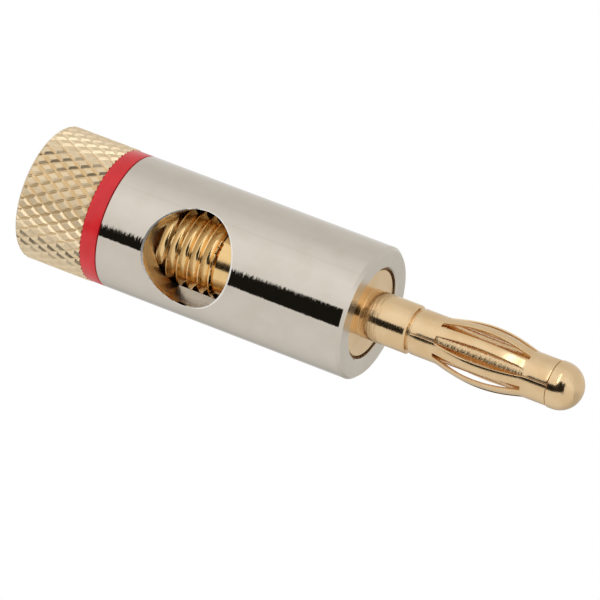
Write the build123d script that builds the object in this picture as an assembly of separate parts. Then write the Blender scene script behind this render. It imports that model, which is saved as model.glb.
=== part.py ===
"""Banana plug with a screw-down wire clamp, standing on the back of its thumb screw.

Millimetres, +Z up. The plug's axis is Z, the back of the thumb screw is at z = 0, and the
wire hole faces -Y. Azimuths are degrees round Z from +X.

Five real pieces: the thumb screw, the colour ring, the barrel, the pin that is pressed into
it, and the slit sleeve of spring sheet that is rolled round the pin's neck. The clamping
thread is plain here: the stud is as thick as its crests, and the nut's bore clears them.
"""
from build123d import *
from math import cos, radians, sin, tan
import os

# Lengths along the axis
HEAD_LENGTH = 6.4
RING_SPACE = 1.5
RING_GAP = 0.03
BARREL_LENGTH = 23.1
PIN_STICKS_OUT = 19.4

BARREL_REAR = HEAD_LENGTH + RING_SPACE
BARREL_FRONT = BARREL_REAR + BARREL_LENGTH
OVERALL_LENGTH = BARREL_FRONT + PIN_STICKS_OUT

# Barrel: outside, walls round its bores, and the wire hole in its side
BARREL_RADIUS = 5.75
BARREL_FRONT_CHAMFER = 0.28
BARREL_REAR_CHAMFER = 0.1
NUT_WALL = 2.25
NUT_LENGTH = 4.5
NUT_COUNTERSINK = 0.5
CHAMBER_WALL = 2.0
MOUTH_WALL = 1.8
MOUTH_CHAMFER = 0.12
WIRE_HOLE_RADIUS = 4.0
WIRE_HOLE_FROM_FRONT = 14.86
WIRE_HOLE_FLOOR = 0.8
WIRE_HOLE_CHAMFER = 0.12

# The plug of the pin is pressed into the barrel's front, and the stud stops just behind it
PLUG_LENGTH = 10.0
PLUG_RECESS = 0.25

PLUG_FRONT = BARREL_FRONT - PLUG_RECESS
PLUG_BACK = PLUG_FRONT - PLUG_LENGTH
NUT_RADIUS = BARREL_RADIUS - NUT_WALL
CHAMBER_RADIUS = BARREL_RADIUS - CHAMBER_WALL
PLUG_RADIUS = BARREL_RADIUS - MOUTH_WALL

# Thumb screw head: a turned blank with a rounded rim, cut by a 30 degree diamond knurl
KNURL_COUNT = 36
KNURL_ANGLE = 30
KNURL_PROUD = 0.1
KNURL_DEPTH = 0.22
KNURL_ROW_HEIGHT = 3.27
KNURL_AZIMUTH = -0.9
HEAD_BLANK_PROUD = 0.1
RIM_WIDTH = 0.8
RIM_HEIGHT = 1.0

KNURL_PEAK_RADIUS = BARREL_RADIUS + KNURL_PROUD
HEAD_BLANK_RADIUS = KNURL_PEAK_RADIUS + HEAD_BLANK_PROUD

# Stud of the thumb screw: threaded length and smooth point
THREAD_PLAY = 0.05
THREAD_DEPTH = 0.37
POINT_GAP = 0.25
POINT_LENGTH = 3.0
POINT_PROUD = 0.04
POINT_CHAMFER = 0.3

STUD_END = PLUG_BACK - POINT_GAP
THREAD_END = STUD_END - POINT_LENGTH
THREAD_RADIUS = NUT_RADIUS - THREAD_PLAY
POINT_RADIUS = THREAD_RADIUS - THREAD_DEPTH + POINT_PROUD

# Colour ring, loose on the stud
RING_PLAY = 0.05
RING_EDGE = 0.12

# Spring sleeve: rolled sheet with nine bowed leaves, the first and last beside the wider slot at its seam
SHEET = 0.2
COLLAR_RADIUS = 1.97
BOW_RISE = 0.66
SLEEVE_PLAY = 0.08
SLEEVE_FROM_BARREL = 4.33
SLEEVE_LENGTH = 12.6
LEAF_LENGTH = 8.1
LEAF_COUNT = 9
SEAM_PITCH = 44.8
LEAF_WIDTH = 0.85
FIRST_LEAF_AZIMUTH = -76.3
SEAM_AZIMUTH = -93.0
SEAM_WIDTH = 0.07

LEAF_PITCH = (360 - SEAM_PITCH) / (LEAF_COUNT - 1)

# Pin: pressed plug, shank, neck inside the sleeve, and round nose
PLUG_EDGE = 0.24
SHANK_PROUD = 0.13
SHANK_LENGTH = 3.95
SHANK_EDGE = 0.14
SHANK_ROOT = 0.1
NOSE_PROUD = 0.06
NOSE_SKIRT = 0.4

SHANK_RADIUS = COLLAR_RADIUS + SHANK_PROUD
NECK_RADIUS = COLLAR_RADIUS - SHEET - SLEEVE_PLAY
NOSE_RADIUS = COLLAR_RADIUS + NOSE_PROUD

# How far a cutting solid reaches past what it cuts
PAST = 1.0


def face_of(*edges):
    """A flat face inside a closed run of edges drawn as (radius, height)."""
    return make_face(Plane.XZ * Curve(edges))


def turned(*outline):
    """A lathe-turned solid from (radius, height) points, closed along the axis."""
    bottom, top = outline[0][1], outline[-1][1]
    return revolve(face_of(*Polyline((0, bottom), *outline, (0, top), close=True).edges()), Axis.Z)


def knurled_bar():
    """A closed skin of four-sided pyramids: each is a peak inside a diamond of grooves."""
    half_angle = 360 / KNURL_COUNT / 2
    half_height = radians(half_angle) * KNURL_PEAK_RADIUS / tan(radians(KNURL_ANGLE))
    below = int(KNURL_ROW_HEIGHT / half_height) + 1
    above = int((HEAD_LENGTH - KNURL_ROW_HEIGHT) / half_height) + 1
    rows = range(-below, above + 1)
    steps = 2 * KNURL_COUNT

    def is_peak(row, step):
        return (row + step) % 2 == 0

    def point(row, step):
        radius = KNURL_PEAK_RADIUS - (0 if is_peak(row, step) else KNURL_DEPTH)
        azimuth = radians(KNURL_AZIMUTH + half_angle * (step % steps))
        return radius * cos(azimuth), radius * sin(azimuth), KNURL_ROW_HEIGHT + row * half_height

    def flat(*corners):
        return Face(Wire.make_polygon(corners))

    faces = []
    for row in rows[:-1]:
        for step in range(steps):
            here, beside = point(row, step), point(row, step + 1)
            over, over_beside = point(row + 1, step), point(row + 1, step + 1)
            if is_peak(row, step):
                faces += [flat(here, beside, over), flat(beside, over_beside, over)]
            else:
                faces += [flat(here, beside, over_beside), flat(here, over_beside, over)]
    for row in (rows[0], rows[-1]):
        faces.append(flat(*[point(row, step) for step in range(steps)]))
    return Solid(Shell(faces))


def head_blank():
    """The head before knurling: flat back, rounded rim, flat front."""
    rim = Pos(HEAD_BLANK_RADIUS - RIM_WIDTH, RIM_HEIGHT) * EllipticalCenterArc(
        (0, 0), RIM_WIDTH, RIM_HEIGHT, start_angle=270, arc_size=90)
    straight = Polyline(rim @ 1, (HEAD_BLANK_RADIUS, HEAD_LENGTH), (0, HEAD_LENGTH), (0, 0), rim @ 0)
    return revolve(face_of(*rim.edges(), *straight.edges()), Axis.Z)


def stud():
    """Threaded length and smooth point, turned in one with the head."""
    return turned((THREAD_RADIUS, HEAD_LENGTH - PAST),
                  (THREAD_RADIUS, THREAD_END),
                  (POINT_RADIUS, THREAD_END),
                  (POINT_RADIUS, STUD_END - POINT_CHAMFER),
                  (POINT_RADIUS - POINT_CHAMFER, STUD_END))


def make_thumb_screw():
    return (knurled_bar() & head_blank()) + stud()


def make_colour_ring():
    low = HEAD_LENGTH + RING_GAP
    high = BARREL_REAR - RING_GAP
    bore = THREAD_RADIUS + RING_PLAY
    blank = turned((BARREL_RADIUS - RING_EDGE, low),
                   (BARREL_RADIUS, low + RING_EDGE),
                   (BARREL_RADIUS, high - RING_EDGE),
                   (BARREL_RADIUS - RING_EDGE, high))
    return blank - turned((bore, low - PAST), (bore, high + PAST))


def make_barrel():
    """Turned outside, round wire hole with a broken edge, then the bores along the axis."""
    outside = turned((BARREL_RADIUS - BARREL_REAR_CHAMFER, BARREL_REAR),
                     (BARREL_RADIUS, BARREL_REAR + BARREL_REAR_CHAMFER),
                     (BARREL_RADIUS, BARREL_FRONT - BARREL_FRONT_CHAMFER),
                     (BARREL_RADIUS - BARREL_FRONT_CHAMFER, BARREL_FRONT))
    drill = Plane.XZ * Pos(0, 0, WIRE_HOLE_FLOOR) * extrude(Circle(WIRE_HOLE_RADIUS), BARREL_RADIUS)
    drilled = outside - Pos(0, 0, BARREL_FRONT - WIRE_HOLE_FROM_FRONT) * drill
    rim = drilled.edges().filter_by(GeomType.BSPLINE)
    drilled = chamfer(rim, WIRE_HOLE_CHAMFER)

    nut_end = BARREL_REAR + NUT_LENGTH
    mouth_radius = PLUG_RADIUS + MOUTH_CHAMFER
    return drilled - turned((NUT_RADIUS + NUT_COUNTERSINK, BARREL_REAR),
                            (NUT_RADIUS, BARREL_REAR + NUT_COUNTERSINK),
                            (NUT_RADIUS, nut_end),
                            (CHAMBER_RADIUS, nut_end),
                            (CHAMBER_RADIUS, PLUG_BACK),
                            (PLUG_RADIUS, PLUG_BACK),
                            (PLUG_RADIUS, BARREL_FRONT - MOUTH_CHAMFER),
                            (mouth_radius, BARREL_FRONT),
                            (mouth_radius, BARREL_FRONT + PAST))


def make_banana_pin():
    shank_end = BARREL_FRONT + SHANK_LENGTH
    centre = OVERALL_LENGTH - NOSE_RADIUS
    turned_pin = turned((PLUG_RADIUS, PLUG_BACK),
                        (PLUG_RADIUS, PLUG_FRONT - PLUG_EDGE),
                        (PLUG_RADIUS - PLUG_EDGE, PLUG_FRONT),
                        (SHANK_RADIUS + SHANK_ROOT, PLUG_FRONT),
                        (SHANK_RADIUS, PLUG_FRONT + SHANK_ROOT),
                        (SHANK_RADIUS, shank_end - SHANK_EDGE),
                        (SHANK_RADIUS - SHANK_EDGE, shank_end),
                        (NECK_RADIUS, shank_end),
                        (NECK_RADIUS, centre - NOSE_SKIRT),
                        (NOSE_RADIUS, centre - NOSE_SKIRT),
                        (NOSE_RADIUS, centre))
    low_half = (Align.CENTER, Align.CENTER, Align.MIN)
    return turned_pin + Pos(0, 0, centre) * Sphere(NOSE_RADIUS, arc_size1=0, align=low_half)


def make_lantern_spring():
    """The bowed section is revolved, then the slots and the seam are cut through the sheet."""
    low = BARREL_FRONT + SLEEVE_FROM_BARREL
    high = low + SLEEVE_LENGTH
    middle = (low + high) / 2
    half_leaf = LEAF_LENGTH / 2

    def side(radius):
        """Collar, bowed leaf and collar, from the low end to the high end."""
        bow = ThreePointArc((radius, middle - half_leaf),
                            (radius + BOW_RISE, middle),
                            (radius, middle + half_leaf))
        return [Line((radius, low), bow @ 0), bow, Line(bow @ 1, (radius, high))]

    bore = COLLAR_RADIUS - SHEET
    ends = [Line((bore, z), (COLLAR_RADIUS, z)) for z in (low, high)]
    sleeve = revolve(face_of(*side(bore), *side(COLLAR_RADIUS), *ends), Axis.Z)

    reach = COLLAR_RADIUS + BOW_RISE + PAST
    slots = Cylinder(reach, LEAF_LENGTH)
    leaf = Pos(reach / 2, 0, 0) * Box(reach, LEAF_WIDTH, LEAF_LENGTH)
    for place in range(LEAF_COUNT):
        slots -= Rot(0, 0, FIRST_LEAF_AZIMUTH + LEAF_PITCH * place) * leaf
    seam = Rot(0, 0, SEAM_AZIMUTH) * Pos(reach / 2, 0, 0) * Box(reach, SEAM_WIDTH, SLEEVE_LENGTH + PAST)
    seam -= Cylinder(reach, LEAF_LENGTH)
    return sleeve - Pos(0, 0, middle) * slots - Pos(0, 0, middle) * seam


os.makedirs("parts", exist_ok=True)
NODES = {
    "thumb_screw": make_thumb_screw,
    "colour_ring": make_colour_ring,
    "barrel": make_barrel,
    "banana_pin": make_banana_pin,
    "lantern_spring": make_lantern_spring,
}
for name, make in NODES.items():
    export_step(make(), f"parts/{name}.step")
    print("made", name)
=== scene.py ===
# %% [markdown]
# # A banana plug, dressed in Blender
#
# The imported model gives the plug's five turned and rolled pieces at their real size, in metres, standing on
# the back of the thumb screw. This lesson makes finer meshes for them, adds the clamping thread, and gives
# each metal and the plastic ring a finish of its own. The frame is loaded first, and nothing in it is moved.

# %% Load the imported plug
from math import acos, atan2, cos, degrees, hypot, pi, radians, sin, tan

import bmesh
import bpy
from mathutils import Matrix, Vector


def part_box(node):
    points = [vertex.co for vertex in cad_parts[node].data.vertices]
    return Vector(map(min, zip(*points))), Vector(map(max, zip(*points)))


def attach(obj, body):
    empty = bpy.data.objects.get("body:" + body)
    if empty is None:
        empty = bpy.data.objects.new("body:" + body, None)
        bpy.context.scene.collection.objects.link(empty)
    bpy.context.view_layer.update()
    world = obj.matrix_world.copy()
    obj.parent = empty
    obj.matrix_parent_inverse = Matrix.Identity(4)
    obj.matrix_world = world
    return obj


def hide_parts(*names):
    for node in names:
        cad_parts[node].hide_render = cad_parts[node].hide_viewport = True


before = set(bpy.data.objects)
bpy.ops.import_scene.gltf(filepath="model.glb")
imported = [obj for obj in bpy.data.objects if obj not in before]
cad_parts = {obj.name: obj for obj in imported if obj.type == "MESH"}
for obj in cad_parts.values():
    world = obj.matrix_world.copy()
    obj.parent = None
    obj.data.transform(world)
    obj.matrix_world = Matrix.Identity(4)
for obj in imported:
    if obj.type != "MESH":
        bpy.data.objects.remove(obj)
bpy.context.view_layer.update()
MM = 0.001


def heights(node):
    """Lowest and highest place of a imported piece, in millimetres."""
    low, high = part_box(node)
    return low.z / MM, high.z / MM


ring_low, ring_high = heights("colour_ring")
barrel_rear, barrel_front = heights("barrel")
plug_back, nose_tip = heights("banana_pin")
sleeve_low, sleeve_high = heights("lantern_spring")
stud_end = heights("thumb_screw")[1]
print("barrel", barrel_rear, "to", barrel_front, "mm, nose at", nose_tip, "mm")

# %% [markdown]
# ## The camera
#
# The photograph was taken from far away with a long lens, and its camera was rolled, so that the plug lies
# across the frame. A camera here could be placed by eye or by numbers. The numbers come from the outlines
# of the plug in the photograph, so the camera is aimed at one point on the plug, from one side and height,
# and is then turned about its own line of sight.

# %% Camera
AIM = Vector((1.027, -0.247, 24.553)) * MM
CAMERA_AZIMUTH = -103.5
CAMERA_ELEVATION = 21.96
CAMERA_DISTANCE = 572.82 * MM
CAMERA_ROLL = 110.9
LENS = 418.98


def direction(azimuth, elevation):
    """Unit vector at an azimuth round Z and an elevation above the floor, in degrees."""
    flat = cos(radians(elevation))
    return Vector((flat * cos(radians(azimuth)), flat * sin(radians(azimuth)), sin(radians(elevation))))


def only(thing):
    """Deselect everything, then select this object and make it active."""
    bpy.ops.object.select_all(action="DESELECT")
    thing.select_set(True)
    bpy.context.view_layer.objects.active = thing


back = direction(CAMERA_AZIMUTH, CAMERA_ELEVATION)
bpy.ops.object.camera_add()
camera = bpy.context.object
level = back.to_track_quat("Z", "Y").to_matrix().to_4x4()
camera.matrix_world = (Matrix.Translation(AIM + back * CAMERA_DISTANCE) @ level
                       @ Matrix.Rotation(radians(CAMERA_ROLL), 4, "Z"))
camera.data.lens = LENS
camera.data.sensor_width = 36
bpy.context.scene.camera = camera
print("camera at", [round(value / MM, 1) for value in camera.location], "mm")

# %% [markdown]
# ## Tools of the bench
#
# A few small helpers keep the modelling cells short. One enters edit mode, one selects vertices, edges or
# faces by where they are, one scales away from the axis, and one adds a modifier and applies it. Two more
# draw: the first a chain of edges through some points, the second a half outline that it then spins, as a
# lathe does. Every turned piece of the plug starts with that spin.

# %% Helpers for edit mode and modifiers
def edit(piece):
    """Enter edit mode on one object with all of it selected."""
    only(piece)
    bpy.ops.object.mode_set(mode="EDIT")
    bpy.ops.mesh.select_mode(type="VERT")
    bpy.ops.mesh.select_all(action="SELECT")


def leave_edit():
    """Go back to object mode."""
    bpy.ops.object.mode_set(mode="OBJECT")


def pick(kind, test):
    """In edit mode, select only the verts, edges or faces that pass a test, and count them."""
    modes = {"verts": "VERT", "edges": "EDGE", "faces": "FACE"}
    bpy.ops.mesh.select_mode(type=modes[kind])
    bpy.ops.mesh.select_all(action="DESELECT")
    mesh = bmesh.from_edit_mesh(bpy.context.object.data)
    chosen = [part for part in getattr(mesh, kind) if test(part)]
    for part in chosen:
        part.select_set(True)
    mesh.select_flush_mode()
    bmesh.update_edit_mesh(bpy.context.object.data)
    return len(chosen)


def middle(part):
    """Middle of an edge or face, in millimetres."""
    return sum((corner.co for corner in part.verts), Vector()) / len(part.verts) / MM


def radius_of(point):
    """Distance from the plug's axis."""
    return hypot(point[0], point[1])


def widen(factor):
    """Scale what is selected away from the plug's axis."""
    bpy.ops.transform.resize(value=(factor, factor, 1), center_override=(0, 0, 0))


def apply(piece, kind, **settings):
    """Add one modifier and apply it."""
    only(piece)
    modifier = piece.modifiers.new(kind.title(), kind)
    for name, value in settings.items():
        setattr(modifier, name, value)
    bpy.ops.object.modifier_apply(modifier=modifier.name)


def combine(piece, other, operation):
    """Cut a piece with another closed mesh, keep what both share, or weld them together."""
    apply(piece, "BOOLEAN", object=other, operation=operation, solver="EXACT")
    bpy.data.objects.remove(other)


# %% Chains of edges and the lathe
def chain(name, points):
    """Draw a chain of edges through points in millimetres, and stay in edit mode."""
    bpy.ops.object.select_all(action="DESELECT")
    bpy.ops.mesh.primitive_plane_add(size=MM)
    piece = bpy.context.object
    piece.name = name
    edit(piece)
    bpy.ops.mesh.merge(type="CENTER")
    bpy.ops.transform.translate(value=[place * MM for place in points[0]])
    for point, next_point in zip(points, points[1:]):
        step = [(there - here) * MM for here, there in zip(point, next_point)]
        bpy.ops.mesh.extrude_vertices_move(TRANSFORM_OT_translate={"value": step})
    return piece


def arc(centre, radii, start, end, steps):
    """Points (radius, height) along part of an ellipse, its angles from outward to up, in degrees."""
    angles = [radians(start + (end - start) * step / steps) for step in range(steps + 1)]
    return [(centre[0] + radii[0] * cos(angle), centre[1] + radii[1] * sin(angle)) for angle in angles]


def turned(name, outline, closed=False, sides=192):
    """Draw a chain of (radius, height) points in millimetres, and spin it round Z."""
    piece = chain(name, [(radius, 0, height) for radius, height in outline])
    if closed:
        pick("verts", lambda vert: len(vert.link_edges) == 1)
        bpy.ops.mesh.edge_face_add()
    bpy.ops.mesh.select_all(action="SELECT")
    bpy.ops.mesh.spin(steps=sides, angle=2 * pi, center=(0, 0, 0), axis=(0, 0, 1))
    bpy.ops.mesh.select_all(action="SELECT")
    bpy.ops.mesh.remove_doubles(threshold=0.0005 * MM)
    bpy.ops.mesh.normals_make_consistent(inside=False)
    leave_edit()
    return piece


def finish(piece, body, slot, nodes=(), angle=28):
    """Shade a piece by angle, hang it on its body, and hide the imported pieces it stands for."""
    only(piece)
    bpy.ops.object.shade_smooth_by_angle(angle=radians(angle))
    bpy.ops.object.transform_apply(location=True, rotation=True, scale=True)
    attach(piece, body)
    if nodes:
        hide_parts(*nodes)
    print(piece.name, len(piece.data.polygons), "faces")


# %% [markdown]
# ## The barrel
#
# The barrel is a nickel-plated tube. Its front end has a small chamfer, and the bore for the pin has its own
# edge broken. It is spun as one closed outline, outside and inside, because the wire hole shows both. The
# hole is then drilled with a boolean, and its rim gets a shallow cut that catches a line of light: a bevel
# makes a narrow band of faces, and the band's inner edge is moved out again until the cut is shallow. The
# cut is later given near-white metal as well, a painted highlight that makes that line brighter. The
# number of sides is picked so that the hole ends inside a side, and not on the line between two, where it
# would leave a mark in the shading.

# %% Barrel: spin the outline
BARREL_RADIUS = 5.75
FRONT_CHAMFER = 0.28
REAR_CHAMFER = 0.1
NUT_RADIUS = 3.5
NUT_LENGTH = 4.5
COUNTERSINK = 0.5
CHAMBER_RADIUS = 3.47
PLUG_RADIUS = 3.95
MOUTH_CHAMFER = 0.12
HOLE_FROM_FRONT = 14.86
HOLE_RADIUS = 4.0
HOLE_MARGIN = 0.5
HOLE_FLOOR = 0.8
HOLE_EDGE = 0.17
HOLE_EDGE_DEPTH = 0.08
HOLE_SIDES = 160
BARREL_SIDES = 100

NUT_END = barrel_rear + NUT_LENGTH
HOLE_HEIGHT = barrel_front - HOLE_FROM_FRONT
barrel = turned("nickel_barrel", [
    (BARREL_RADIUS - REAR_CHAMFER, barrel_rear),
    (BARREL_RADIUS, barrel_rear + REAR_CHAMFER),
    (BARREL_RADIUS, HOLE_HEIGHT - HOLE_RADIUS - HOLE_MARGIN),
    (BARREL_RADIUS, HOLE_HEIGHT),
    (BARREL_RADIUS, HOLE_HEIGHT + HOLE_RADIUS + HOLE_MARGIN),
    (BARREL_RADIUS, barrel_front - FRONT_CHAMFER),
    (BARREL_RADIUS - FRONT_CHAMFER, barrel_front),
    (PLUG_RADIUS + MOUTH_CHAMFER, barrel_front),
    (PLUG_RADIUS, barrel_front - MOUTH_CHAMFER),
    (PLUG_RADIUS, plug_back),
    (CHAMBER_RADIUS, plug_back),
    (CHAMBER_RADIUS, NUT_END),
    (NUT_RADIUS, NUT_END),
    (NUT_RADIUS, barrel_rear + COUNTERSINK),
    (NUT_RADIUS + COUNTERSINK, barrel_rear),
], closed=True, sides=BARREL_SIDES)

# %% Barrel: drill the wire hole and break its edge
bpy.ops.object.select_all(action="DESELECT")
drill_length = BARREL_RADIUS
bpy.ops.mesh.primitive_cylinder_add(
    vertices=HOLE_SIDES, radius=HOLE_RADIUS * MM, depth=drill_length * MM, rotation=(pi / 2, 0, 0),
    location=(0, -(HOLE_FLOOR + drill_length / 2) * MM, HOLE_HEIGHT * MM))
combine(barrel, bpy.context.object, "DIFFERENCE")


def on_hole_wall(vert, slack):
    """True for a point whose distance from the hole's axis is its radius, give or take the slack."""
    return abs(hypot(vert.co.x / MM, vert.co.z / MM - HOLE_HEIGHT) - HOLE_RADIUS) < slack


def on_hole_rim(edge):
    """True for the edges where the hole's wall meets the outside of the barrel."""
    outside = [radius_of(vert.co / MM) > BARREL_RADIUS - 0.02 for vert in edge.verts]
    return all(outside) and all(on_hole_wall(vert, 0.02) for vert in edge.verts)


edit(barrel)
rim_edges = pick("edges", on_hole_rim)
bpy.ops.mesh.bevel(offset=HOLE_EDGE * MM, segments=1, affect="EDGES")
inner_edge = pick("verts", lambda vert: on_hole_wall(vert, 0.005)
                  and radius_of(vert.co / MM) > BARREL_RADIUS - 0.3)
widen(1 + (HOLE_EDGE - HOLE_EDGE_DEPTH) / BARREL_RADIUS)
leave_edit()
finish(barrel, "barrel", "nickel_plate", ["barrel"], angle=18)
print("rim of", rim_edges, "edges cut,", inner_edge, "points moved out")

# %% [markdown]
# ## The colour ring
#
# A plain plastic ring tells the plug's polarity. It sits loose between head and barrel with a hair's gap on
# each side, and its edges are rounded by the mould. Its outline is one closed loop with arcs at two corners.

# %% Colour ring
RING_BORE = 3.5
RING_EDGE = 0.05

ring = turned("red_ring", [
    (RING_BORE, ring_low),
    *arc((BARREL_RADIUS - RING_EDGE, ring_low + RING_EDGE), (RING_EDGE, RING_EDGE), -90, 0, 4),
    *arc((BARREL_RADIUS - RING_EDGE, ring_high - RING_EDGE), (RING_EDGE, RING_EDGE), 0, 90, 4),
    (RING_BORE, ring_high),
], closed=True, sides=256)
finish(ring, "colour_ring", "red_plastic", ["colour_ring"])

# %% [markdown]
# ## The pin
#
# The pin is one turned piece: a plug that is pressed into the barrel, a shank, a thin neck inside the
# spring, and a round nose. Spinning its half outline gives all of it at once. The plug's face is narrower
# than the bore, so that a dark gap shows round it, and a narrow groove is left between shank and spring.

# %% Banana pin
PLUG_RECESS = 0.25
PLUG_EDGE = 0.05
PLUG_GAP = 0.2
PLUG_GAP_DEPTH = 1.0
SHANK_RADIUS = 2.1
SHANK_LENGTH = 3.95
SHANK_FILLET = 0.03
SHANK_EDGE = 0.14
NECK_RADIUS = 1.69
NOSE_RADIUS = 2.03
NOSE_SKIRT = 0.4
NOSE_EDGE = 0.06

plug_face = barrel_front - PLUG_RECESS
shank_end = barrel_front + SHANK_LENGTH
nose_centre = nose_tip - NOSE_RADIUS
nose_back = nose_centre - NOSE_SKIRT
pin = turned("gold_pin", [
    (0, plug_back),
    (PLUG_RADIUS, plug_back),
    (PLUG_RADIUS, plug_face - PLUG_GAP_DEPTH),
    (PLUG_RADIUS - PLUG_GAP, plug_face - PLUG_GAP_DEPTH),
    (PLUG_RADIUS - PLUG_GAP, plug_face - PLUG_EDGE),
    (PLUG_RADIUS - PLUG_GAP - PLUG_EDGE, plug_face),
    *arc((SHANK_RADIUS + SHANK_FILLET, plug_face + SHANK_FILLET), (SHANK_FILLET, SHANK_FILLET), 270, 180, 6),
    (SHANK_RADIUS, shank_end - SHANK_EDGE),
    (SHANK_RADIUS - SHANK_EDGE, shank_end),
    (NECK_RADIUS, shank_end),
    (NECK_RADIUS, nose_back),
    (NOSE_RADIUS - NOSE_EDGE, nose_back),
    (NOSE_RADIUS, nose_back + NOSE_EDGE),
    *arc((0, nose_centre), (NOSE_RADIUS, NOSE_RADIUS), 0, 90, 32),
])
finish(pin, "barrel", "gold_plate", ["banana_pin"])

# %% [markdown]
# ## The lantern spring
#
# A strip of thin spring sheet with slits is rolled round the neck, and its nine leaves are bowed outwards.
# One sector is modelled, with one leaf and one slit: a line is spun through the leaf's angle and then
# through the slit's, the slit's faces are deleted, and each row of the leaf is moved straight out and drawn
# in a little at the sides. The slit at the seam is wider, so nine sectors and one more stretch of collar
# close the sleeve. Solidify gives the sheet its thickness, and a thin box cuts the seam.

# %% Lantern spring: one sector
COLLAR_RADIUS = 1.97
SHEET = 0.2
BOW_RISE = 0.66
BOW_POWER = 1.15
LEAF_LENGTH = 8.1
LEAF_ROOT = 0.92
LEAF_WAIST = 0.78
LEAF_COUNT = 9
SEAM_PITCH = 44.8
LEAF_ROWS = 28
LEAF_COLUMNS = 6
SLIT_COLUMNS = 4
COLLAR_ROWS = 3
FIRST_LEAF_AZIMUTH = -76.3
SEAM_AZIMUTH = -93.0
SEAM_WIDTH = 0.07
SEAM_PAST_END = 1
SEAM_PAST_COLLAR = 0.05
SEAM_CUT_LENGTH = 3
SEAM_CUT_MIDDLE = 2.5
SHEET_EDGE = 0.03

sleeve_middle = (sleeve_low + sleeve_high) / 2
leaf_low = sleeve_middle - LEAF_LENGTH / 2
leaf_high = sleeve_middle + LEAF_LENGTH / 2
pitch = radians(360 - SEAM_PITCH) / (LEAF_COUNT - 1)
leaf_angle = LEAF_ROOT / COLLAR_RADIUS
seam_rest = radians(SEAM_PITCH) - pitch


def along_leaf(height):
    """0 half-way along a leaf and 1 at its roots and beyond."""
    return min(1, abs(height - sleeve_middle) / (LEAF_LENGTH / 2))


def azimuth_of(point):
    """Angle round the plug's axis, in radians."""
    return atan2(point[1], point[0])


rows = [sleeve_low + (leaf_low - sleeve_low) * row / COLLAR_ROWS for row in range(COLLAR_ROWS)]
rows += [leaf_low + LEAF_LENGTH * row / LEAF_ROWS for row in range(LEAF_ROWS)]
rows += [leaf_high + (sleeve_high - leaf_high) * row / COLLAR_ROWS for row in range(COLLAR_ROWS + 1)]
spring = chain("lantern_sleeve", [(COLLAR_RADIUS, 0, height) for height in rows])
bpy.ops.mesh.select_all(action="SELECT")
bpy.ops.transform.rotate(value=leaf_angle / 2, orient_axis="Z", center_override=(0, 0, 0))
bpy.ops.mesh.spin(steps=LEAF_COLUMNS, angle=-leaf_angle, center=(0, 0, 0), axis=(0, 0, 1))
bpy.ops.mesh.spin(steps=SLIT_COLUMNS, angle=leaf_angle - pitch, center=(0, 0, 0), axis=(0, 0, 1))
slot_faces = pick("faces", lambda face: leaf_low < middle(face).z < leaf_high
                  and azimuth_of(middle(face)) > leaf_angle / 2)
bpy.ops.mesh.delete(type="FACE")
for height in rows:
    along = along_leaf(height)
    if along < 1:
        pick("verts", lambda vert: abs(vert.co.z / MM - height) < 0.01)
        bpy.ops.transform.translate(value=(BOW_RISE * (1 - along ** 2) ** BOW_POWER * MM, 0, 0))
        width = LEAF_WAIST + (LEAF_ROOT - LEAF_WAIST) * along ** 2
        bpy.ops.transform.resize(value=(1, width / LEAF_ROOT, 1), center_override=(0, 0, 0))
print("one sector:", slot_faces, "faces taken out for the slit")

# %% Lantern spring: nine sectors, thickness and seam
bpy.ops.mesh.select_all(action="SELECT")
bpy.ops.transform.rotate(value=-radians(FIRST_LEAF_AZIMUTH), orient_axis="Z", center_override=(0, 0, 0))
for copy in range(1, LEAF_COUNT):
    bpy.ops.mesh.duplicate()
    bpy.ops.transform.rotate(value=-pitch, orient_axis="Z", center_override=(0, 0, 0))
open_edge = radians(FIRST_LEAF_AZIMUTH) - leaf_angle / 2 - seam_rest
towards_edge = Vector((cos(open_edge), sin(open_edge), 0))
pick("verts", lambda vert: (vert.co * Vector((1, 1, 0))).normalized().dot(towards_edge) > 0.999999)
bpy.ops.mesh.spin(steps=1, angle=-seam_rest, center=(0, 0, 0), axis=(0, 0, 1))
bpy.ops.mesh.select_all(action="SELECT")
bpy.ops.mesh.remove_doubles(threshold=0.002 * MM)
bpy.ops.mesh.normals_make_consistent(inside=False)
leave_edit()
apply(spring, "SOLIDIFY", thickness=SHEET * MM, offset=-1, use_even_offset=True)
for low, high in ((sleeve_low - SEAM_PAST_END, leaf_low + SEAM_PAST_COLLAR),
                  (leaf_high - SEAM_PAST_COLLAR, sleeve_high + SEAM_PAST_END)):
    bpy.ops.object.select_all(action="DESELECT")
    bpy.ops.mesh.primitive_cube_add(size=MM)
    cutter = bpy.context.object
    edit(cutter)
    bpy.ops.transform.resize(value=(SEAM_CUT_LENGTH, SEAM_WIDTH, high - low))
    bpy.ops.transform.translate(value=(SEAM_CUT_MIDDLE * MM, 0, (low + high) / 2 * MM))
    bpy.ops.transform.rotate(value=-radians(SEAM_AZIMUTH), orient_axis="Z", center_override=(0, 0, 0))
    leave_edit()
    combine(spring, cutter, "DIFFERENCE")
apply(spring, "BEVEL", width=SHEET_EDGE * MM, segments=2, limit_method="ANGLE", angle_limit=radians(50))
finish(spring, "lantern_spring", "gold_plate", ["lantern_spring"], angle=40)

# %% [markdown]
# ## The thumb screw's knurled head
#
# Two knurling wheels roll crossed grooves into the turned head and leave rows of diamonds with flat tops. A
# grid of squares that is poked gives the crossing grooves: with its first edges dissolved, only diamonds
# are left, and a second poke raises each into a steep pyramid. A bevel gives the grooves a narrow flat
# floor. The bar is then cut down to the turned blank, which takes the tips off the pyramids and lets them
# fade out on the rounded rim, as they do on the real head.

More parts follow.
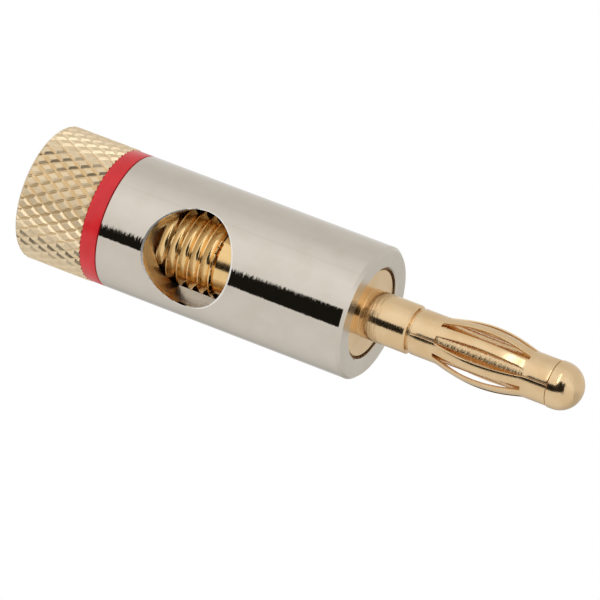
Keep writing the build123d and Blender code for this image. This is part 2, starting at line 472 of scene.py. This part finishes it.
# %% Knurl: poke a grid into diamonds
KNURL_COUNT = 36
KNURL_ANGLE = 30
KNURL_TOP = 5.81
GROOVE_DEPTH = 0.2
FLANK_RISE = 0.42
KNURL_ROW_HEIGHT = 3.27
KNURL_AZIMUTH = -0.9
KNURL_ROWS = 5
GROOVE_FLOOR = 0.02
RING_GAP = 0.03

groove_radius = KNURL_TOP - GROOVE_DEPTH
half_step = pi / KNURL_COUNT
half_row = half_step * KNURL_TOP / tan(radians(KNURL_ANGLE))
first_row = KNURL_ROW_HEIGHT - half_row * KNURL_ROWS
head_top = ring_low - RING_GAP

bpy.ops.object.select_all(action="DESELECT")
bpy.ops.mesh.primitive_circle_add(vertices=KNURL_COUNT, radius=groove_radius * MM, fill_type="NOTHING")
head = bpy.context.object
head.name = "knurled_head"
edit(head)
bpy.ops.transform.rotate(value=-radians(KNURL_AZIMUTH), orient_axis="Z", center_override=(0, 0, 0))
bpy.ops.transform.translate(value=(0, 0, first_row * MM))
for row in range(KNURL_ROWS):
    bpy.ops.mesh.extrude_edges_move(TRANSFORM_OT_translate={"value": (0, 0, 2 * half_row * MM)})
bpy.ops.mesh.select_all(action="SELECT")
bpy.ops.mesh.normals_make_consistent(inside=False)

bpy.ops.mesh.poke(offset=0)
pick("verts", lambda vert: radius_of(vert.co / MM) < groove_radius - 0.001)
widen(1 / cos(half_step))


def first_grid(edge):
    """True for an edge that runs straight up or straight round, which only the first grid has."""
    one, other = edge.verts[0].co, edge.verts[1].co
    level_edge = abs(one.z - other.z) < 0.01 * MM
    upright = abs(one.x - other.x) < 0.001 * MM and abs(one.y - other.y) < 0.001 * MM
    return (level_edge or upright) and len(edge.link_faces) == 2


grid_edges = pick("edges", first_grid)
bpy.ops.mesh.dissolve_edges(use_verts=False)
diamonds = pick("faces", lambda face: len(face.verts) == 4)
print(grid_edges, "edges dissolved,", diamonds, "diamonds")

# %% Knurl: raise the pyramids
bpy.ops.mesh.poke(offset=0)
peaks = pick("verts", lambda vert: len(vert.link_faces) == 4
             and radius_of(vert.co / MM) < groove_radius - 0.001)
widen((groove_radius + FLANK_RISE) / (groove_radius * (1 + cos(half_step)) / 2))
leave_edit()
print(peaks, "peaks raised")

# %% Knurl: floor the grooves and cut the bar down to the turned blank
HEAD_BLANK_RADIUS = 5.95
RIM_WIDTH = 0.8
RIM_HEIGHT = 1.0
BLANK_SIDES = 360

edit(head)
groove_edges = pick("edges", lambda edge: all(radius_of(vert.co / MM) < groove_radius + 0.001
                                              for vert in edge.verts) and len(edge.link_faces) == 2)
bpy.ops.mesh.bevel(offset=GROOVE_FLOOR * MM, segments=1, affect="EDGES")
bpy.ops.mesh.select_all(action="SELECT")
bpy.ops.mesh.fill_holes(sides=0)
bpy.ops.mesh.normals_make_consistent(inside=False)
leave_edit()
rim_centre = HEAD_BLANK_RADIUS - RIM_WIDTH
rim_end = 360 - degrees(acos((KNURL_TOP - rim_centre) / RIM_WIDTH))
blank = turned("blank", [
    (0, 0),
    *arc((rim_centre, RIM_HEIGHT), (RIM_WIDTH, RIM_HEIGHT), 270, rim_end, 10),
    (KNURL_TOP, head_top),
    (0, head_top),
], sides=BLANK_SIDES)
combine(head, blank, "INTERSECT")
finish(head, "thumb_screw", "gold_plate", ["thumb_screw"])
print(groove_edges, "groove edges floored")

# %% [markdown]
# ## The clamping thread
#
# The stud behind the ring carries a coarse left-hand thread with rounded valleys and narrow flat crests, and
# ends in a smooth point that presses on the wire. One pitch of its outline, drawn from crest to crest, is
# swept by a Screw modifier. The long helix is then cut to length between two planes and welded to the point.

# %% Clamp stud
PITCH = 1.0
CREST_RADIUS = 3.45
ROOT_RADIUS = 3.08
CREST_WIDTH = 0.11
CREST_HEIGHT = 0.198
VALLEY_STEPS = 14
TURN_STEPS = 96
FIRST_TURN = 5
THREAD_TURNS = 13
STUD_ROOT = 0.2
POINT_ROOT = 0.5
POINT_LENGTH = 3.0
POINT_RADIUS = 3.12
POINT_CHAMFER = 0.3

thread_end = stud_end - POINT_LENGTH
valley_depth = CREST_RADIUS - ROOT_RADIUS
first_crest = CREST_HEIGHT + FIRST_TURN * PITCH
profile = []
for step in range(VALLEY_STEPS + 1):
    across = step / VALLEY_STEPS - 0.5
    profile.append((CREST_RADIUS - valley_depth * cos(pi * across), 0,
                    first_crest + PITCH / 2 + (PITCH - CREST_WIDTH) * across))
profile.append((CREST_RADIUS, 0, first_crest + PITCH + CREST_WIDTH / 2))

stud = chain("clamp_stud", profile)
leave_edit()
apply(stud, "SCREW", angle=-2 * pi, screw_offset=PITCH * MM, steps=TURN_STEPS, render_steps=TURN_STEPS,
      iterations=THREAD_TURNS, use_merge_vertices=True, merge_threshold=0.0005 * MM)
edit(stud)
bpy.ops.mesh.remove_doubles(threshold=0.001 * MM)
for cut, normal in ((head_top - STUD_ROOT, -1), (thread_end, 1)):
    bpy.ops.mesh.select_all(action="SELECT")
    bpy.ops.mesh.bisect(plane_co=(0, 0, cut * MM), plane_no=(0, 0, normal), use_fill=True, clear_outer=True)
bpy.ops.mesh.select_all(action="SELECT")
bpy.ops.mesh.normals_make_consistent(inside=False)
leave_edit()
point = turned("point", [
    (0, thread_end - POINT_ROOT),
    (POINT_RADIUS, thread_end - POINT_ROOT),
    (POINT_RADIUS, stud_end - POINT_CHAMFER),
    (POINT_RADIUS - POINT_CHAMFER, stud_end),
    (0, stud_end),
])
combine(stud, point, "UNION")
finish(stud, "thumb_screw", "gold_plate", ["thumb_screw"])

# %% [markdown]
# ## A short way to write shader sums
#
# The finishes are noise, stretched and mixed by sums. Typing nodes one by one hides what they do, so one
# class wraps an output socket and lets sums be written as they are in ordinary code. Another class holds a
# node tree and adds all other nodes with a single method: its settings first, then its inputs.

# %% Shader helpers
class Wire:
    """One output socket, on which +, -, * and / add Math nodes."""

    def __init__(self, finish, socket):
        self.finish, self.socket = finish, socket

    def math(self, operation, *values):
        return self.finish.node("ShaderNodeMath", {"operation": operation}, values)

    def __add__(self, other):
        return self.math("ADD", self, other)

    def __radd__(self, other):
        return self.math("ADD", other, self)

    def __sub__(self, other):
        return self.math("SUBTRACT", self, other)

    def __rsub__(self, other):
        return self.math("SUBTRACT", other, self)

    def __mul__(self, other):
        return self.math("MULTIPLY", self, other)

    def __truediv__(self, other):
        return self.math("DIVIDE", self, other)

    def between(self, low, high):
        """0 below low, 1 above high, and eased between them."""
        return self.finish.node("ShaderNodeMapRange", {"interpolation_type": "SMOOTHSTEP"},
                                [self, low, high])


class Finish:
    """A node tree with one way to add a node."""

    def __init__(self, tree):
        self.tree = tree
        tree.nodes.clear()

    def node(self, kind, settings=(), values=(), output=0):
        """Add a node, set it up, and fill its inputs in order; an input of None is left as it is."""
        added = self.tree.nodes.new(kind)
        for name, value in dict(settings).items():
            setattr(added, name, value)
        pairs = values.items() if isinstance(values, dict) else enumerate(values)
        for place, value in pairs:
            if isinstance(value, Wire):
                self.tree.links.new(value.socket, added.inputs[place])
            elif value is not None:
                added.inputs[place].default_value = value
        return Wire(self, added.outputs[output]) if added.outputs else None

    def place(self):
        """Object coordinates in millimetres, as x, y, z and the distance from the axis."""
        coordinates = self.node("ShaderNodeTexCoord", output="Object")
        split = self.node("ShaderNodeSeparateXYZ", (), [coordinates])
        x, y, z = [Wire(self, split.socket.node.outputs[axis]) / MM for axis in range(3)]
        squares = x * x + y * y
        return x, y, z, squares.math("SQRT", squares)

    def noise(self, x, y, z, detail=3, roughness=0.5):
        """Noise from 0 to 1 whose grain is one unit of the sums given for x, y and z."""
        where = self.node("ShaderNodeCombineXYZ", (), [x, y, z])
        return self.node("ShaderNodeTexNoise", (), {"Vector": where, "Scale": 1, "Detail": detail,
                                                    "Roughness": roughness})

    def mix(self, factor, one, other):
        """Blend two colours."""
        return self.node("ShaderNodeMix", {"data_type": "RGBA"}, {0: factor, 6: one, 7: other}, output=2)

    def bump(self, height, depth):
        """A normal from a height field; the depth is in millimetres."""
        return self.node("ShaderNodeBump", (), {"Strength": 1, "Distance": depth * MM, "Height": height})


def material(name):
    made = bpy.data.materials.new(name)
    made.use_nodes = True
    return made, Finish(made.node_tree)


def surface(finish, **sockets):
    """The Principled shader and the material's output; underscores stand for spaces."""
    shader = finish.node("ShaderNodeBsdfPrincipled", (), {name.replace("_", " "): value
                                                          for name, value in sockets.items()})
    finish.node("ShaderNodeOutputMaterial", (), [shader])


# %% [markdown]
# ## Metal finishes
#
# Both platings lie over turned brass, so the tool's marks run round every surface: fine rings, uneven in
# depth, that break up for a stretch and begin again. Noise is squeezed along the axis and stretched round
# it. On faces that look along the axis the rings follow the distance from the axis instead, so both are in
# the noise at once. A broader cloud varies the roughness, as handling does. Inside the barrel, and on the
# neck under the spring, the marks are deeper and the metal is rougher. The thread has a richer gold than the
# pin and the knurl a paler one, and the knurl's flat tops are duller than its grooves.

# %% Turned metal
def turned_metal(name, colour, stain, marks, roughness, smooth_radius=0, raw=0):
    """Marks in millimetres; nearer the axis than smooth_radius they are deeper and the metal is rougher."""
    made, finish = material(name)
    x, y, z, radius = finish.place()
    rings = finish.noise(x * 1.2, y * 1.2, z * 5 + radius * 5, detail=2)
    fine = finish.noise(x * 2.5, y * 2.5, z * 30 + radius * 30, detail=1)
    cloud = finish.noise(x * 0.5, y * 0.5, z * 0.5, detail=4)
    speckle = finish.noise(x * 9, y * 9, z * 9, detail=2).between(0.62, 0.75)
    inside = 1 - radius.between(smooth_radius - 0.15, smooth_radius)
    height = (rings + fine * 0.1) * (1 + inside * 3)
    surface(finish,
            Base_Color=finish.mix(cloud.between(0.35, 0.75) * 0.5 + speckle * 0.2, colour, stain),
            Metallic=1,
            Roughness=cloud * 0.03 + roughness + inside * raw,
            Normal=finish.bump(height, marks))
    return made


GOLD = (0.84, 0.62, 0.37, 1)
GOLD_STAIN = (0.74, 0.5, 0.25, 1)
THREAD_GOLD = (0.96, 0.66, 0.3, 1)
NICKEL = (0.694, 0.637, 0.558, 1)
NICKEL_STAIN = (0.64, 0.575, 0.49, 1)
nickel_turned = turned_metal("nickel turned", NICKEL, NICKEL_STAIN, 0.006, 0.03,
                             smooth_radius=BARREL_RADIUS - FRONT_CHAMFER - 0.1, raw=0.22)
gold_turned = turned_metal("gold turned", GOLD, GOLD_STAIN, 0.014, 0.13, smooth_radius=1.85, raw=0.1)
gold_thread = turned_metal("gold thread", THREAD_GOLD, GOLD_STAIN, 0.003, 0.13)

# %% Knurled and rolled gold
def struck_metal(name, colour, stain, grain, roughness, blank_radius=100, worn=0):
    """Pressed or rolled metal: a fine even grain and a few pits; at blank_radius it is rougher by worn."""
    made, finish = material(name)
    x, y, z, radius = finish.place()
    cloud = finish.noise(x * 0.7, y * 0.7, z * 0.7, detail=4)
    grains = finish.noise(x * 6, y * 6, z * 6, detail=4)
    pits = finish.noise(x * 5, y * 5, z * 5, detail=2).between(0.66, 0.76)
    tops = radius.between(blank_radius - 0.03, blank_radius - 0.01)
    surface(finish,
            Base_Color=finish.mix(cloud.between(0.3, 0.75) * 0.6 + pits * 0.3, colour, stain),
            Metallic=1,
            Roughness=cloud * 0.08 + roughness + tops * worn,
            Normal=finish.bump(grains - pits * 0.8, grain))
    return made


KNURL_GOLD = (0.88, 0.72, 0.49, 1)
KNURL_STAIN = (0.82, 0.65, 0.42, 1)
gold_rolled = struck_metal("gold rolled", GOLD, GOLD_STAIN, 0.003, 0.12)
gold_knurled = struck_metal("gold knurled", KNURL_GOLD, KNURL_STAIN, 0.008, 0.28,
                            blank_radius=KNURL_TOP, worn=0.18)

# %% [markdown]
# ## Red plastic
#
# The ring is moulded in a clear, strong red. Its surface is glossy but not flat: it has shrunk a little as
# it cooled, and has the faint scuffs of handling. The gloss is left to the shader's own reflection.

# %% Red plastic
DEEP_RED = (0.58, 0.008, 0.014, 1)
CLEAR_RED = (0.66, 0.014, 0.02, 1)

red_plastic, finish_red = material("red plastic")
x, y, z, radius = finish_red.place()
cloud = finish_red.noise(x * 0.8, y * 0.8, z * 1.5, detail=3)
scuffs = finish_red.noise(x * 3, y * 3, z * 20, detail=3)
surface(finish_red,
        Base_Color=finish_red.mix(cloud.between(0.3, 0.8), DEEP_RED, CLEAR_RED),
        Roughness=scuffs * 0.15 + 0.16,
        Normal=finish_red.bump(scuffs, 0.003))

# %% [markdown]
# ## Dressing the pieces
#
# Each piece takes its finish. The cut round the wire hole gets a second material, near-white metal that is
# a painted highlight brightening the line of light on its rim, and the faces of the cut are picked by where
# they are and by how small they are.

# %% Finishes on the pieces
# Near-white metal for the rim of the wire hole: a painted highlight, whiter than the nickel plating.
RIM_HIGHLIGHT_NICKEL = (1, 0.98, 0.94, 1)
CUT_REACH = 0.1
CUT_DEPTH = 0.12
CUT_FACE_AREA = 0.2

rim_painted_highlight = turned_metal("rim painted highlight", RIM_HIGHLIGHT_NICKEL, NICKEL, 0.003, 0.3)

for piece, made in ((barrel, nickel_turned), (ring, red_plastic), (pin, gold_turned), (spring, gold_rolled),
                    (head, gold_knurled), (stud, gold_thread)):
    piece.data.materials.clear()
    piece.data.materials.append(made)
barrel.data.materials.append(rim_painted_highlight)
edit(barrel)
cut_faces = pick("faces", lambda face: any(on_hole_wall(vert, CUT_REACH) for vert in face.verts)
                 and all(radius_of(vert.co / MM) > BARREL_RADIUS - CUT_DEPTH for vert in face.verts)
                 and face.calc_area() < CUT_FACE_AREA * MM * MM)
barrel.active_material_index = 1
bpy.ops.object.material_slot_assign()
leave_edit()
print(cut_faces, "faces on the rim of the wire hole")

# %% [markdown]
# ## Room and floor
#
# Polished metal shows the room more than itself. The photograph was taken in a white tent whose walls are
# brighter on one side, so the world is a soft grey that changes with the direction round the plug. The
# camera looks in through a dark opening: that is the sharp dark stripe along the barrel, the shank and the
# nose. A black card that only reflections see stands for it. A long strip light in front of one side of the
# card adds small highlights to the knurl and the gold. The floor is plain white and casts nothing back into
# the metal, because the tent's own floor was as bright as its walls. Light is passed on many times between
# the flanks of the thread and inside the wire hole, so its paths may be long.

# %% World
WHITE = (1, 1, 1, 1)
TENT = ((-180, 0.68), (-160, 0.79), (-144, 0.74), (-112, 0.72), (-88, 0.74), (-72, 0.83), (-57, 0.895),
        (-54.5, 0.85), (-52, 0.915), (-48, 0.93), (-32, 1.0), (-8, 0.97), (16, 0.88), (48, 0.8), (72, 0.82),
        (104, 0.795), (120, 0.745), (136, 0.656), (152, 0.51), (162, 0.54), (180, 0.68))

world = bpy.data.worlds.new("tent")
bpy.context.scene.world = world
world.use_nodes = True
tent = Finish(world.node_tree)
towards = tent.node("ShaderNodeTexCoord", output="Generated")
facing = tent.node("ShaderNodeVectorRotate", {"rotation_type": "Z_AXIS"},
                   {"Vector": towards, "Angle": -radians(CAMERA_AZIMUTH)})
split = tent.node("ShaderNodeSeparateXYZ", (), [facing]).socket.node.outputs
azimuth = Wire(tent, split[1]).math("ARCTAN2", Wire(tent, split[1]), Wire(tent, split[0]))
ramp = tent.node("ShaderNodeValToRGB", (), [azimuth / (2 * pi) + 0.5])
stops = ramp.socket.node.color_ramp.elements
for extra in TENT[2:]:
    stops.new(1)
for stop, (angle, bright) in zip(stops, TENT):
    stop.position = angle / 360 + 0.5
    stop.color = (bright, bright * (0.97 + 0.03 * bright), bright * (0.9 + 0.1 * bright), 1)
seen = tent.node("ShaderNodeLightPath", output="Is Camera Ray")
shown = tent.mix(seen, ramp, WHITE)
tent.node("ShaderNodeOutputWorld", (), [tent.node("ShaderNodeBackground", (), [shown, 1])])

# %% Floor, dark card and strip light
FLOOR_SIZE = 4
CARD_DISTANCE = 200
CARD_EDGE = ((12, 225), (-8, 165), (-20, 130), (-16, 84), (8, 44), (10, -50), (28, -91), (30, -160),
             (42, -160), (40, -73), (41, -50), (39, 20), (36, 125), (30, 240))
CARD_COLOUR = (1, 0.92, 0.7, 1)
CARD_GLOW = 0.012
STRIP_AZIMUTH = -18
STRIP_DISTANCE = 190
STRIP_HEIGHT = 60
STRIP_SIZE = (250, 18)
STRIP_RADIANCE = 2.0
BOUNCES = 24


def glow(name, colour, strength):
    """A material that only shines."""
    made, finish = material(name)
    finish.node("ShaderNodeOutputMaterial", (), [finish.node("ShaderNodeEmission", (), [colour, strength])])
    return made


bpy.ops.object.select_all(action="DESELECT")
bpy.ops.mesh.primitive_plane_add(size=FLOOR_SIZE, location=(0, 0, 0))
floor = bpy.context.object
floor.name = "floor"
floor.data.materials.append(glow("white floor", WHITE, 1))
floor.visible_glossy = False

card = chain("dark_card", [direction(CAMERA_AZIMUTH + angle, 0) * CARD_DISTANCE + Vector((0, 0, height))
                           for angle, height in CARD_EDGE])
bpy.ops.mesh.select_all(action="SELECT")
bpy.ops.mesh.edge_face_add()
leave_edit()
card.data.materials.append(glow("black card", CARD_COLOUR, CARD_GLOW))
card.visible_camera = False
card.visible_diffuse = False
card.visible_shadow = False

bpy.ops.object.light_add(type="AREA")
strip = bpy.context.object
strip.name = "strip_light"
strip.data.shape = "RECTANGLE"
strip.data.size, strip.data.size_y = [side * MM for side in STRIP_SIZE]
strip.data.energy = STRIP_RADIANCE * pi * STRIP_SIZE[0] * STRIP_SIZE[1] * MM * MM
strip_way = direction(CAMERA_AZIMUTH + STRIP_AZIMUTH, 0)
strip.matrix_world = (Matrix.Translation((strip_way * STRIP_DISTANCE + Vector((0, 0, STRIP_HEIGHT))) * MM)
                      @ strip_way.to_track_quat("Z", "Y").to_matrix().to_4x4())
strip.visible_camera = False

bpy.context.scene.view_settings.view_transform = "Standard"
bpy.context.scene.cycles.max_bounces = BOUNCES
bpy.context.scene.cycles.glossy_bounces = BOUNCES
